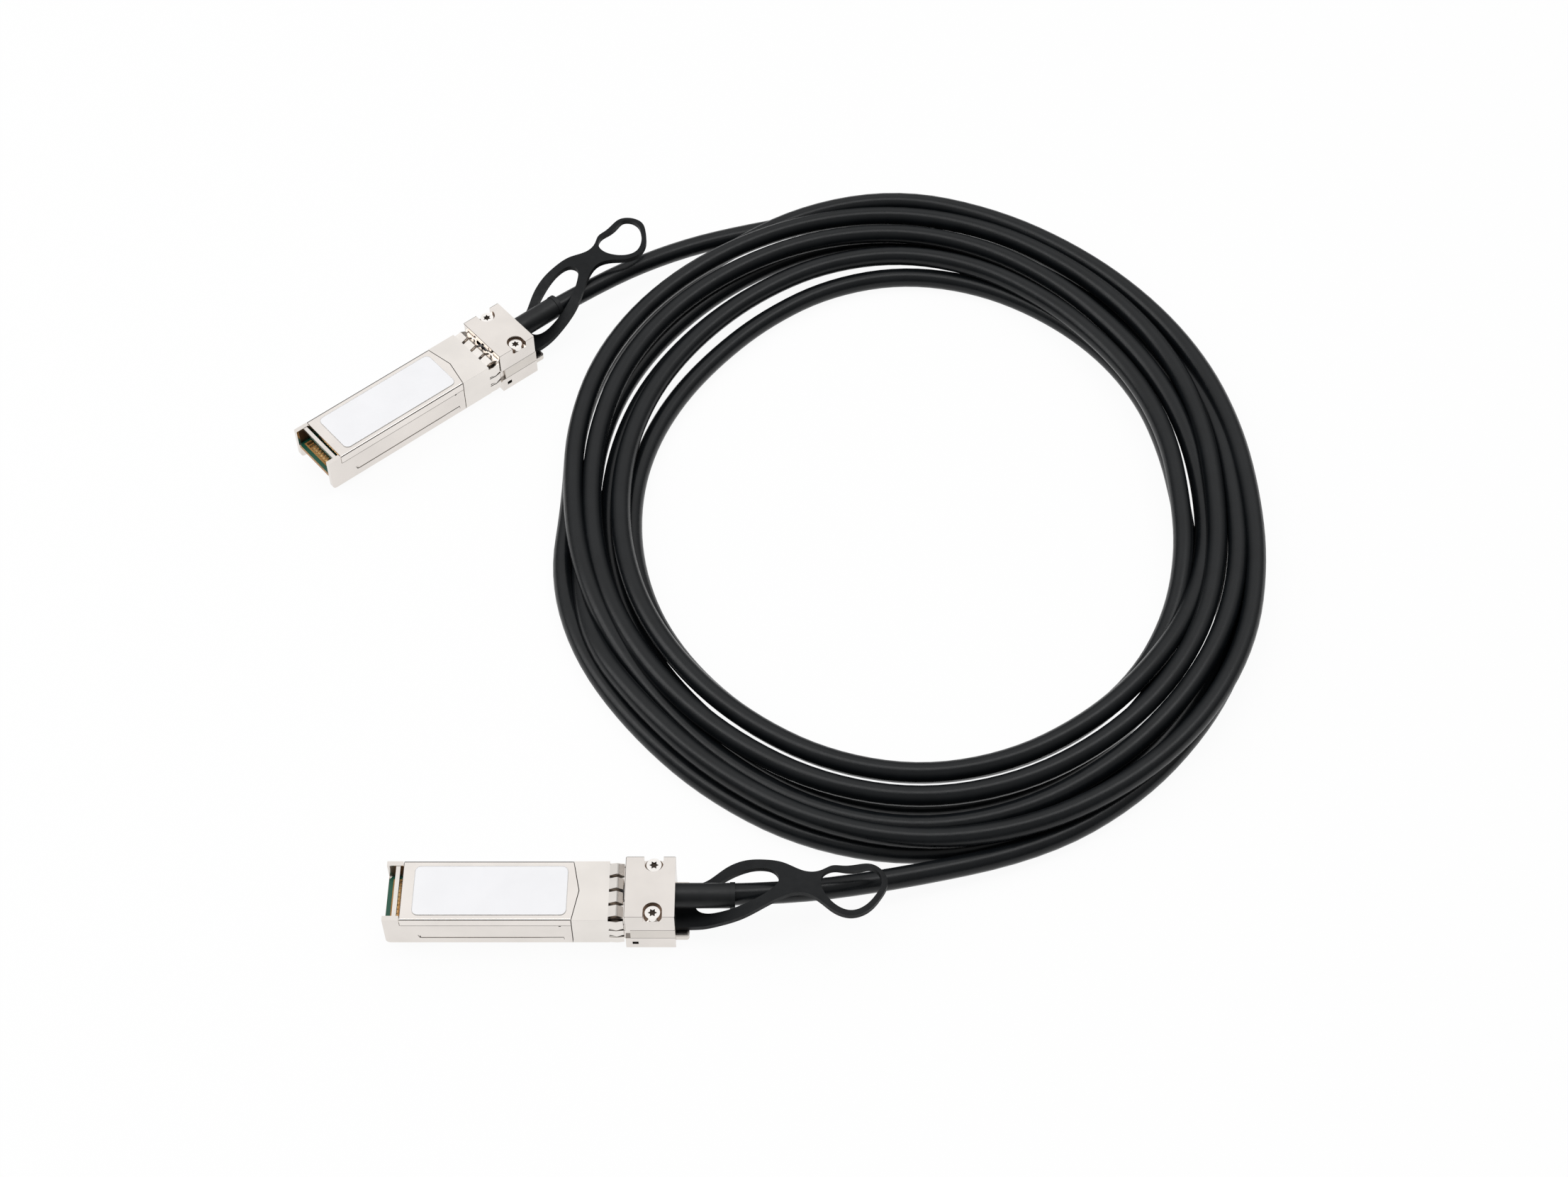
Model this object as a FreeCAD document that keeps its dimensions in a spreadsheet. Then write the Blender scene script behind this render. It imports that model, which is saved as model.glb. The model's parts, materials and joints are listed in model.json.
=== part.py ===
import FreeCAD, Part
import math
import os
import re
import Sketcher

# Direct attach copper cable: two pluggable connectors joined by one round cable that lies in a loose coil.
# Millimetres. +Z is up and z = 0 is the surface that the cable lies on. The origin is the middle of the foot
# of connector A, and +X runs along connector A from its nose to its cable.
#
# Each connector is drawn in its own frame: x from the tip of the nose to the rear, y across, z up from the
# surface it stands on. The whole set is then placed twice, as connector A and connector B.

Vector = FreeCAD.Vector
doc = FreeCAD.newDocument("direct_attach_cable")

# ---------------------------------------------------------------- driving sizes

SIZES = {
    # nose: the part that goes into the cage
    "nose_wide": 13.4, "nose_high": 8.5, "nose_drop": 1.6, "nose_long": 47.2,
    "wall": 1.0, "floor_thick": 1.6, "ledge": 0.6, "mouth_long": 10.4,
    "ear_round": 1.0, "bridge_start": 1.85, "bridge_long": 0.85, "bridge_high": 0.8,
    "groove_deep": 0.15, "groove_wide": 0.25, "groove_drop": 6.7, "groove_start": 6.8, "groove_margin": 1.7,
    "groove_rise": 1.0,
    # stamped cover and its label
    "cover_start": 3.35, "cover_thick": 0.4, "skirt_deep": 2.1, "skirt_thick": 0.35, "cover_bend": 0.35,
    "collar_long": 10.4, "point_long": 1.3, "seam_gap": 0.12,
    "label_start": 5.7, "label_margin": 1.0, "label_wide": 11.0, "label_round": 1.2, "label_thick": 0.1,
    # sprung collar
    "collar_thick": 0.22, "finger_long": 3.2, "crest_along": 1.5, "tip_gap": 0.3,
    "finger_rise": 0.55, "finger_tuck": 0.25, "finger_wide": 2.4, "finger_pitch": 3.15,
    "leaf_low": 0.15, "leaf_split": 2.35, "leaf_seam": 4.5, "leaf_top": 7.7, "leaf_gap": 0.28,
    "leaf_rise": 0.12, "leaf_tuck": 0.05, "well_deep": 0.6, "finger_count": 4,
    # rear block
    "block_long": 9.8, "block_wide": 13.8, "block_high": 11.5, "block_round": 0.3,
    "arm_low": 3.5, "arm_high": 3.05, "arm_seat": 0.6,
    "tongue_thick": 1.0,
    "screw_back": 4.3, "screw_side": 5.4, "screw_thread": 0.75, "screw_long": 7.4, "screw_head": 1.5,
    "head_high": 0.9, "socket_size": 0.95, "socket_deep": 0.5, "recess_wide": 1.9, "recess_deep": 1.6,
    # circuit card
    "card_start": 0.05, "card_back": 7.4, "card_thick": 1.0, "card_top": 4.5, "card_gap": 0.1,
    "card_nick": 0.6,
    "pad_start": 1.3, "pad_long": 3.6, "pad_wide": 0.62, "pad_pitch": 0.95, "pad_thick": 0.05,
    "pad_count": 10,
    "chip_start": 19.0, "chip_long": 4.9, "chip_wide": 3.9, "chip_high": 1.2,
    # cable, its crimp and its boot
    "cable_size": 4.4, "cable_height": 8.2, "boot_size": 5.0, "boot_long": 11.7, "boot_bead": 0.15,
    "bead_long": 1.0, "bore_gap": 0.05, "clamp_start": 3.3, "clamp_long": 5.2,
    "wire_size": 1.1, "wire_lap": 4.8,
    # release slider, its springs and its pull tab
    "sheet": 0.5, "slide_gap": 0.2, "slide_travel": 2.2, "tray_long": 2.7, "tray_side": 6.25, "tray_high": 1.2,
    "tray_rim": 0.35, "tray_round": 0.6, "yoke_side": 2.8, "yoke_high": 5.1, "arm_front": 1.0,
    "tongue_wide": 6.0, "tongue_reach": 5.7, "tongue_low": 0.2, "tine_slot": 3.2, "slot_back": 1.8,
    "tine_ramp": 0.9, "ramp_drop": 0.5, "ear_side": 5.3, "ear_long": 0.7,
    "channel_gap": 0.2, "channel_top": 2.5, "spring_low": 1.2, "spring_side": 5.7, "spring_room": 7.5,
    "boss_wide": 2.6, "boss_back": 4.8, "boss_long": 2.6, "boss_high": 0.45, "boss_ramp": 2.0,
    "window_start": 1.3, "window_long": 1.2, "window_low": 1.3, "window_high": 0.9,
    "leaf_thick": 0.15, "leaf_count": 8,
    "tab_thick": 1.2, "tab_swing": 4.6,
    # cable coil and where connector B stands
    "coil_wide": 155.0, "coil_deep": 190.4, "coil_x": 54.4, "coil_y": 105.8, "coil_flat": 7.5,
    "hole_wide": 115.5, "hole_deep": 134.6, "hole_x": 53.4, "hole_y": 101.7, "hole_flat": 3.75,
    "coil_layers": 2.0, "coil_bevel": 1.3,
    "nose_b_x": -78.6, "nose_b_y": 113.9, "turn_b": 40.7,
}

sheet = doc.addObject("Spreadsheet::Sheet", "Sizes")
for row, (alias, value) in enumerate(SIZES.items(), start=1):
    sheet.set("A%d" % row, alias)
    sheet.set("B%d" % row, repr(value))
    sheet.setAlias("B%d" % row, alias)
doc.recompute()

# Places that several pieces share, as formulas of the sizes above.
HALF = "(nose_wide / 2)"
NOSE_TOP = "(nose_drop + nose_high)"
PLATE_UNDER = "(nose_drop + nose_high - cover_thick)"
SKIRT_END = "(nose_drop + nose_high - skirt_deep)"
INNER = "(nose_wide / 2 - wall)"
CARD_TOP = "(nose_drop + card_top)"
CARD_UNDER = "(nose_drop + card_top - card_thick)"
BLOCK_HALF = "(block_wide / 2)"
REAR = "(nose_long + block_long)"
SPLIT = "(arm_low + arm_high)"
COLLAR_UNDER = "(nose_drop + nose_high - collar_thick)"
BORE = "(boot_size / 2 + bore_gap)"
SCREW_X = "(nose_long + block_long - screw_back)"
SCREW_SEAT = "(block_high - recess_deep)"
TONGUE_UNDER = "(nose_drop + tongue_low)"
SHELF_UNDER = "(arm_low + slide_gap / 2)"
YOKE = "(nose_long + block_long - sheet)"
TRAY_TOP = "(nose_drop + tongue_low + tray_high)"
EAR_X = "(nose_long + arm_front)"
CHANNEL = "(tongue_wide / 2 + channel_gap)"
SEAM = "(nose_long - collar_long)"
POINT = "(nose_long - collar_long + point_long)"
FINGER = "(nose_long - finger_long)"
FINGER_CREST = "(nose_long - finger_long + crest_along)"
FINGER_TIP = "(nose_long - tip_gap)"
TINES = "(nose_long - tongue_reach)"
BOSS = "(nose_long - boss_back)"
CARD_END = "(nose_long - card_back)"

ALIAS = re.compile(r"\b(" + "|".join(sorted(SIZES, key=len, reverse=True)) + r")\b")


def formula(text):
    """A formula of sizes as the document reads it."""
    return ALIAS.sub(r"Sizes.\1", str(text))


def size(alias):
    """A size's number, for the few shapes that are made without a sketch."""
    return float(getattr(sheet, alias))


# ---------------------------------------------------------------- sketches and features

def plane_of(body, role):
    return next(item for item in body.Origin.OriginFeatures if item.Role == role)


def sketch_on(body, role, lift="0"):
    """A sketch on one of the body's own origin planes, lifted along the plane's normal."""
    sketch = body.newObject("Sketcher::SketchObject", body.Label + "_sketch")
    sketch.AttachmentSupport = [(plane_of(body, role), "")]
    sketch.MapMode = "FlatFace"
    sketch.setExpression("AttachmentOffset.Base.z", formula(lift))
    return sketch


def bind_point(sketch, item, point, place, start):
    """Ties a point of a sketch to two formulas."""
    for kind, text, value in (("DistanceX", place[0], start[0]), ("DistanceY", place[1], start[1])):
        index = sketch.addConstraint(Sketcher.Constraint(kind, -1, 1, item, point, value))
        sketch.setExpression("Constraints[%d]" % index, formula(text))


def polygon(sketch, places):
    """A closed outline through places given as formulas."""
    first = sketch.GeometryCount
    count = len(places)
    turn = 2 * math.pi / count
    start = [(20 + 10 * math.cos(turn * i), 20 + 10 * math.sin(turn * i)) for i in range(count)]
    for i in range(count):
        a, b = start[i], start[(i + 1) % count]
        sketch.addGeometry(Part.LineSegment(Vector(a[0], a[1], 0), Vector(b[0], b[1], 0)), False)
    for i in range(count):
        following = first + (i + 1) % count
        sketch.addConstraint(Sketcher.Constraint("Coincident", first + i, 2, following, 1))
    for i in range(count):
        bind_point(sketch, first + i, 1, places[i], start[i])


def rectangle(sketch, low, high):
    polygon(sketch, [(low[0], low[1]), (high[0], low[1]), (high[0], high[1]), (low[0], high[1])])


def circle(sketch, place, radius):
    item = sketch.addGeometry(Part.Circle(Vector(20, 20, 0), Vector(0, 0, 1), 2.0), False)
    bind_point(sketch, item, 3, place, (20, 20))
    index = sketch.addConstraint(Sketcher.Constraint("Radius", item, 2.0))
    sketch.setExpression("Constraints[%d]" % index, formula(radius))


def pad(body, sketch, length, symmetric=False):
    """Material along the sketch plane's normal, or to both sides of it."""
    feature = body.newObject("PartDesign::Pad", body.Label + "_pad")
    feature.Profile = sketch
    feature.SideType = "Symmetric" if symmetric else "One side"
    feature.setExpression("Length", formula(length))
    return feature


def cut(body, sketch, length, symmetric=False):
    """A pocket along the sketch plane's normal, or to both sides of it."""
    feature = body.newObject("PartDesign::Pocket", body.Label + "_cut")
    feature.Profile = sketch
    feature.SideType = "Symmetric" if symmetric else "One side"
    feature.Reversed = not symmetric
    feature.setExpression("Length", formula(length))
    return feature


def round_edges(body, radius, chosen):
    """Rounds the body's edges for which chosen(edge) is true."""
    doc.recompute()
    last = body.Tip
    names = ["Edge%d" % i for i, edge in enumerate(last.Shape.Edges, start=1) if chosen(edge)]
    feature = body.newObject("PartDesign::Fillet", body.Label + "_round")
    feature.Base = (last, names)
    feature.setExpression("Radius", formula(radius))
    return feature


def runs_along(edge, axis):
    """True for a straight edge along one of the axes (0, 1, 2)."""
    if len(edge.Vertexes) != 2:
        return False
    step = edge.Vertexes[1].Point - edge.Vertexes[0].Point
    return abs(step[axis]) > 0.999 * step.Length and step.Length > 0


def new_body(label):
    body = doc.addObject("PartDesign::Body", label)
    body.Label = label
    return body


def mirrored(places):
    """An outline's right half (from bottom to top) and its mirror image, as one closed outline."""
    return places + [("-" + y, z) for y, z in reversed(places)]


# ---------------------------------------------------------------- the connector's pieces

def base_shell(label):
    """Die-cast lower housing: a trough with ears at the nose, the latch post and the lower rear block."""
    body = new_body(label)
    walls = sketch_on(body, "YZ_Plane")
    polygon(walls, mirrored([
        (HALF, "nose_drop"), (HALF, SKIRT_END), (f"({HALF} - skirt_thick)", SKIRT_END),
        (f"({HALF} - skirt_thick)", PLATE_UNDER), (INNER, PLATE_UNDER), (INNER, CARD_UNDER),
        (f"({INNER} - ledge)", CARD_UNDER), (f"({INNER} - ledge)", "nose_drop + floor_thick")]))
    pad(body, walls, "nose_long")

    block = sketch_on(body, "YZ_Plane", "nose_long")
    polygon(block, mirrored([
        (BLOCK_HALF, "0"), (BLOCK_HALF, "arm_low"), (f"({BLOCK_HALF} - arm_seat)", "arm_low"),
        (f"({BLOCK_HALF} - arm_seat)", SPLIT)]))
    pad(body, block, "block_long")

    caps = sketch_on(body, "YZ_Plane")
    rectangle(caps, (INNER, SKIRT_END), (HALF, NOSE_TOP))
    rectangle(caps, (f"-{HALF}", SKIRT_END), (f"-{INNER}", NOSE_TOP))
    pad(body, caps, "cover_start - seam_gap")

    mouth = sketch_on(body, "YZ_Plane", "-1")
    rectangle(mouth, (f"-{INNER}", "0"), (INNER, CARD_UNDER))
    cut(body, mouth, "mouth_long + 1")

    bridge = sketch_on(body, "YZ_Plane", "bridge_start")
    rectangle(bridge, (f"-{INNER}", f"{NOSE_TOP} - bridge_high - seam_gap"), (INNER, f"{NOSE_TOP} - seam_gap"))
    pad(body, bridge, "bridge_long")

    seat = sketch_on(body, "YZ_Plane", SEAM)
    rectangle(seat, (f"-{HALF} - 1", "nose_drop - 1"), (f"{HALF} + 1", f"{NOSE_TOP} + 1"))
    rectangle(seat, (f"-{HALF} + collar_thick", "nose_drop + collar_thick"),
              (f"{HALF} - collar_thick", COLLAR_UNDER))
    cut(body, seat, f"nose_long - {SEAM}")

    well = sketch_on(body, "YZ_Plane", FINGER)
    rectangle(well, (f"-{HALF} - 1", "nose_drop - 1"), (f"{HALF} + 1", f"{NOSE_TOP} + 1"))
    rectangle(well, (f"-{HALF} + well_deep", "nose_drop + well_deep"),
              (f"{HALF} - well_deep", f"{NOSE_TOP} + 0.5"))
    cut(body, well, f"nose_long - {FINGER}")

    bore = sketch_on(body, "YZ_Plane", "nose_long")
    circle(bore, ("0", "cable_height"), BORE)
    cut(body, bore, "block_long")

    channel = sketch_on(body, "XY_Plane", "spring_low")
    rectangle(channel, (f"{TINES} - 1", f"-{CHANNEL}"), (f"{REAR} + 1", CHANNEL))
    cut(body, channel, "channel_top - spring_low")

    springs = sketch_on(body, "XY_Plane", "spring_low")
    rectangle(springs, (f"{EAR_X} - slide_gap", "-spring_side"), (f"{EAR_X} + spring_room", "spring_side"))
    cut(body, springs, "channel_top - spring_low")

    recess = sketch_on(body, "YZ_Plane", f"{YOKE} - slide_gap")
    polygon(recess, mirrored([
        ("(tray_side + 0.1)", f"{TONGUE_UNDER} - 0.1"), ("(tray_side + 0.1)", "arm_low"),
        (f"({BLOCK_HALF} + 1)", "arm_low"), (f"({BLOCK_HALF} + 1)", SPLIT)]))
    cut(body, recess, "sheet + slide_gap + 1")

    windows = sketch_on(body, "XZ_Plane")
    rectangle(windows, ("nose_long + window_start", "window_low"),
              ("nose_long + window_start + window_long", "window_low + window_high"))
    cut(body, windows, "block_wide + 2", symmetric=True)

    threads = sketch_on(body, "XY_Plane", f"{SCREW_SEAT} - screw_long + head_high - 0.1")
    for side in ("-", ""):
        circle(threads, (SCREW_X, f"{side}screw_side"), "screw_thread + bore_gap")
    cut(body, threads, "screw_long + 1")

    boss = sketch_on(body, "XZ_Plane")
    polygon(boss, [(BOSS, "channel_top"), (BOSS, "nose_drop"),
                   (f"{BOSS} + boss_ramp", "nose_drop - boss_high"), (f"{BOSS} + boss_long", "nose_drop - boss_high"),
                   (f"{BOSS} + boss_long", "channel_top")])
    pad(body, boss, "boss_wide", symmetric=True)

    for side in ("-", ""):
        lift = f"{HALF} - groove_deep" if side == "-" else f"-{HALF}"
        groove = sketch_on(body, "XZ_Plane", lift)
        low = f"({NOSE_TOP} - groove_drop)"
        polygon(groove, [("groove_start", f"{low} + groove_rise"), ("groove_start", low),
                         (f"{SEAM} - groove_margin", low), (f"{SEAM} - groove_margin", f"{low} + groove_wide"),
                         ("groove_start + groove_wide", f"{low} + groove_wide"),
                         ("groove_start + groove_wide", f"{low} + groove_rise")])
        cut(body, groove, "groove_deep")

    round_edges(body, "ear_round", lambda edge: runs_along(edge, 1) and edge.CenterOfMass.x < 0.01
                and edge.CenterOfMass.z < size("nose_drop") + 0.01)
    return body


def nose_cover(label):
    """Stamped cover: a flat top with two short skirts and a pointed rear edge."""
    body = new_body(label)
    section = sketch_on(body, "YZ_Plane", "cover_start")
    polygon(section, mirrored([
        (f"({HALF} - skirt_thick)", PLATE_UNDER), (f"({HALF} - skirt_thick)", SKIRT_END),
        (HALF, SKIRT_END), (HALF, NOSE_TOP)]))
    pad(body, section, f"{POINT} - cover_start")
    point = sketch_on(body, "XY_Plane", f"{SKIRT_END} - 1")
    polygon(point, [(SEAM, HALF), (POINT, "0"), (SEAM, f"-{HALF}"),
                    (SEAM, f"-{HALF} - 1"), (f"{POINT} + 1", f"-{HALF} - 1"),
                    (f"{POINT} + 1", f"{HALF} + 1"), (SEAM, f"{HALF} + 1")])
    cut(body, point, "skirt_deep + 2")
    round_edges(body, "cover_bend", lambda edge: runs_along(edge, 0)
                and edge.CenterOfMass.z > size("nose_drop") + size("nose_high") - 0.01)
    return body


def emi_collar(label):
    """Sprung collar: a thin band round the nose with a row of bent fingers on each side."""
    body = new_body(label)
    band = sketch_on(body, "YZ_Plane", f"{SEAM} + seam_gap")
    rectangle(band, (f"-{HALF}", "nose_drop"), (HALF, NOSE_TOP))
    rectangle(band, (f"-{HALF} + collar_thick", "nose_drop + collar_thick"),
              (f"{HALF} - collar_thick", COLLAR_UNDER))
    pad(body, band, f"{FINGER} - {SEAM} - seam_gap")

    notch = sketch_on(body, "XY_Plane", f"{NOSE_TOP} - 1")
    polygon(notch, [(f"{SEAM} + seam_gap", HALF), (SEAM, f"{HALF} + 1"), (f"{SEAM} - 1", f"{HALF} + 1"),
                    (f"{SEAM} - 1", f"-{HALF} - 1"), (SEAM, f"-{HALF} - 1"),
                    (f"{SEAM} + seam_gap", f"-{HALF}"), (f"{POINT} + seam_gap", "0")])
    cut(body, notch, "2")

    latch = sketch_on(body, "XY_Plane", "nose_drop - 1")
    rectangle(latch, (f"{TINES} - 1", f"-{CHANNEL}"), (f"{FINGER} + 1", CHANNEL))
    cut(body, latch, "2")

    # The top row is one bent finger and its copies across the nose.
    first = "(finger_count - 1) * finger_pitch / 2"
    finger = sketch_on(body, "XZ_Plane", first)
    polygon(finger, finger_outline(NOSE_TOP, ""))
    top = pad(body, finger, "finger_wide", symmetric=True)
    repeat(body, [top], "Y_Axis", "(finger_count - 1) * finger_pitch", size("finger_count"))

    # Two fingers underneath, one on each side of the latch.
    under = sketch_on(body, "XZ_Plane", first)
    polygon(under, finger_outline("nose_drop", "-"))
    low = pad(body, under, "finger_wide - 0.4", symmetric=True)
    repeat(body, [low], "Y_Axis", "(finger_count - 1) * finger_pitch", 2)

    # Three nearly flat leaves up each side, with narrow slits between them.
    for side in ("", "-"):
        for low, high in (("leaf_low", "leaf_split - leaf_gap"), ("leaf_split", "leaf_seam"),
                          ("leaf_seam + leaf_gap", "leaf_top")):
            flank = sketch_on(body, "XY_Plane", f"nose_drop + {low}")
            polygon(flank, finger_outline(f"{side}{HALF}", side, "leaf_rise", "leaf_tuck"))
            pad(body, flank, f"({high}) - ({low})")
    return body


def finger_outline(face, side, high="finger_rise", deep="finger_tuck"):
    """A bent finger from the band's face: up to a crest, then tucked in. side is "-" where up is negative."""
    rise = f"- {high}" if side else f"+ {high}"
    tuck = f"+ {deep}" if side else f"- {deep}"
    inward = "+ collar_thick" if side else "- collar_thick"
    return [(f"{FINGER} - 0.3", f"{face}"), (FINGER, f"{face}"),
            (FINGER_CREST, f"{face} {rise}"), (FINGER_TIP, f"{face} {tuck}"),
            (FINGER_TIP, f"{face} {tuck} {inward}"), (FINGER_CREST, f"{face} {rise} {inward}"),
            (FINGER, f"{face} {inward}"), (f"{FINGER} - 0.3", f"{face} {inward}")]


def repeat(body, features, role, length, count):
    """Copies of a feature in a straight row; the row ends at length."""
    row_of = body.newObject("PartDesign::LinearPattern", body.Label + "_row")
    row_of.Originals = features
    row_of.Direction = (plane_of(body, role), [""])
    row_of.setExpression("Length", formula(length))
    row_of.Occurrences = int(count)
    body.Tip = row_of
    return row_of


def rear_cover(label):
    """Upper half of the rear block, with a tongue that runs forward under the collar."""
    body = new_body(label)
    block = sketch_on(body, "YZ_Plane", "nose_long")
    rectangle(block, (f"-{BLOCK_HALF}", SPLIT), (BLOCK_HALF, "block_high"))
    pad(body, block, "block_long")
    tongue = sketch_on(body, "YZ_Plane", f"{POINT} + seam_gap")
    rectangle(tongue, (f"-{INNER} + bore_gap", f"{COLLAR_UNDER} - tongue_thick"),
              (f"{INNER} - bore_gap", COLLAR_UNDER))
    pad(body, tongue, f"nose_long - {POINT} - seam_gap")
    well = sketch_on(body, "XY_Plane", f"{NOSE_TOP} - well_deep")
    rectangle(well, (FINGER, f"-{HALF}"), ("nose_long", HALF))
    cut(body, well, "well_deep + 1")
    bore = sketch_on(body, "YZ_Plane", "nose_long - 1")
    circle(bore, ("0", "cable_height"), BORE)
    cut(body, bore, "block_long + 1")
    seats = sketch_on(body, "XY_Plane", SCREW_SEAT)
    for side in ("-", ""):
        circle(seats, (SCREW_X, f"{side}screw_side"), "recess_wide")
    cut(body, seats, "recess_deep + 1")
    slots = sketch_on(body, "XY_Plane", SCREW_SEAT)
    for side in ("-", ""):
        rectangle(slots, (f"{SCREW_X} - recess_wide", f"{side}screw_side"),
                  (f"{SCREW_X} + recess_wide", f"{side}(block_wide / 2 + 1)"))
    cut(body, slots, "recess_deep + 1")
    holes = sketch_on(body, "XY_Plane", f"{SPLIT} - 1")
    for side in ("-", ""):
        circle(holes, (SCREW_X, f"{side}screw_side"), "screw_thread + bore_gap")
    cut(body, holes, "block_high")
    round_edges(body, "block_round", lambda edge: runs_along(edge, 2) and edge.Length > 3
                and abs(abs(edge.CenterOfMass.y) - size("block_wide") / 2) < 0.01)
    return body


def screws(label):
    """The two small screws that hold the rear block together."""
    pieces = []
    for side in (-1, 1):
        name = "%s_%s" % (label, "left" if side > 0 else "right")
        place = {"x": SCREW_X, "y": f"{side} * screw_side"}
        head = primitive("Part::Cylinder", name + "_head", {"Radius": "screw_head", "Height": "head_high"},
                         dict(place, z=SCREW_SEAT))
        thread = primitive("Part::Cylinder", name + "_thread",
                           {"Radius": "screw_thread", "Height": "screw_long - head_high + 0.1"},
                           dict(place, z=f"{SCREW_SEAT} - screw_long + head_high"))
        level = dict(place, z=f"{SCREW_SEAT} + head_high - socket_deep")
        lobes = [primitive("Part::Prism", "%s_socket_%d" % (name, i),
                           {"Polygon": "3", "Circumradius": "socket_size", "Height": "socket_deep + 1"}, level)
                 for i in (0, 1)]
        lobes[1].Placement.Rotation = FreeCAD.Rotation(Vector(0, 0, 1), 180)
        socket = doc.addObject("Part::Fuse", name + "_socket")
        socket.Base, socket.Tool = lobes
        whole = doc.addObject("Part::Fuse", name + "_whole")
        whole.Base, whole.Tool = head, thread
        screw = doc.addObject("Part::Cut", name)
        screw.Base, screw.Tool = whole, socket
        pieces.append(screw)
    return group(label, pieces)


def primitive(kind, name, sizes, place):
    item = doc.addObject(kind, name)
    for prop, text in sizes.items():
        item.setExpression(prop, formula(text))
    for axis, text in place.items():
        item.setExpression("Placement.Base." + axis, formula(text))
    return item


def group(label, pieces):
    """Several separate solids of one kind that share a node."""
    item = doc.addObject("Part::Compound", label)
    item.Label = label
    item.Links = pieces
    return item


def paddle_card(label):
    """Circuit card whose front edge plugs into the host connector."""
    body = new_body(label)
    edge = f"({INNER} - card_gap)"
    board = sketch_on(body, "XY_Plane", CARD_UNDER)
    polygon(board, [("card_start", f"-{edge} + card_nick"), ("card_start + card_nick", f"-{edge}"),
                    (CARD_END, f"-{edge}"), (CARD_END, edge),
                    ("card_start + card_nick", edge), ("card_start", f"{edge} - card_nick")])
    pad(body, board, "card_thick")
    return body


def contact_pads(label):
    """Gold contacts on both faces of the card's front edge."""
    pieces = []
    for level, face in enumerate((CARD_TOP, f"{CARD_UNDER} - pad_thick")):
        for i in range(int(size("pad_count"))):
            middle = f"({i} - (pad_count - 1) / 2) * pad_pitch"
            pieces.append(primitive("Part::Box", "%s_%d_%d" % (label, level, i),
                                    {"Length": "pad_long", "Width": "pad_wide", "Height": "pad_thick"},
                                    {"x": "pad_start", "y": f"{middle} - pad_wide / 2", "z": face}))
    return group(label, pieces)


def memory_chip(label):
    """Small chip on the card that holds the cable's identity."""
    chip = primitive("Part::Box", label, {"Length": "chip_long", "Width": "chip_wide", "Height": "chip_high"},
                     {"x": "chip_start", "y": "-chip_wide / 2", "z": CARD_TOP})
    case = doc.addObject("Part::Chamfer", label + "_case")
    case.Base = chip
    doc.recompute()
    tall = [i for i, edge in enumerate(chip.Shape.Edges, start=1) if runs_along(edge, 2)]
    case.Edges = [(i, 0.3, 0.3) for i in tall]
    chip.Label = label + "_blank"
    case.Label = label
    return case


def cable_clamp(label):
    """Crimped ring that anchors the cable in the rear block."""
    body = new_body(label)
    ring = sketch_on(body, "YZ_Plane", "nose_long + clamp_start")
    circle(ring, ("0", "cable_height"), "boot_size / 2")
    circle(ring, ("0", "cable_height"), "cable_size / 2")
    pad(body, ring, "clamp_long")
    return body


def boot(label):
    """Heat-shrunk sleeve on the cable behind the rear block, with a slight bead at its end."""
    body = new_body(label)
    start = "(nose_long + clamp_start + clamp_long + bore_gap)"
    tube = sketch_on(body, "YZ_Plane", start)
    circle(tube, ("0", "cable_height"), "boot_size / 2")
    circle(tube, ("0", "cable_height"), "cable_size / 2")
    pad(body, tube, f"{REAR} - {start} + boot_long")
    bead = sketch_on(body, "YZ_Plane", f"{REAR} + boot_long - bead_long")
    circle(bead, ("0", "cable_height"), "boot_size / 2 + boot_bead")
    circle(bead, ("0", "cable_height"), "cable_size / 2")
    pad(body, bead, "bead_long")
    return body


def blank_label(label):
    body = new_body(label)
    face = sketch_on(body, "XY_Plane", NOSE_TOP)
    rectangle(face, ("label_start", "-label_wide / 2"), (f"{SEAM} - label_margin", "label_wide / 2"))
    pad(body, face, "label_thick")
    round_edges(body, "label_round", lambda edge: runs_along(edge, 2))
    return body


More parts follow.
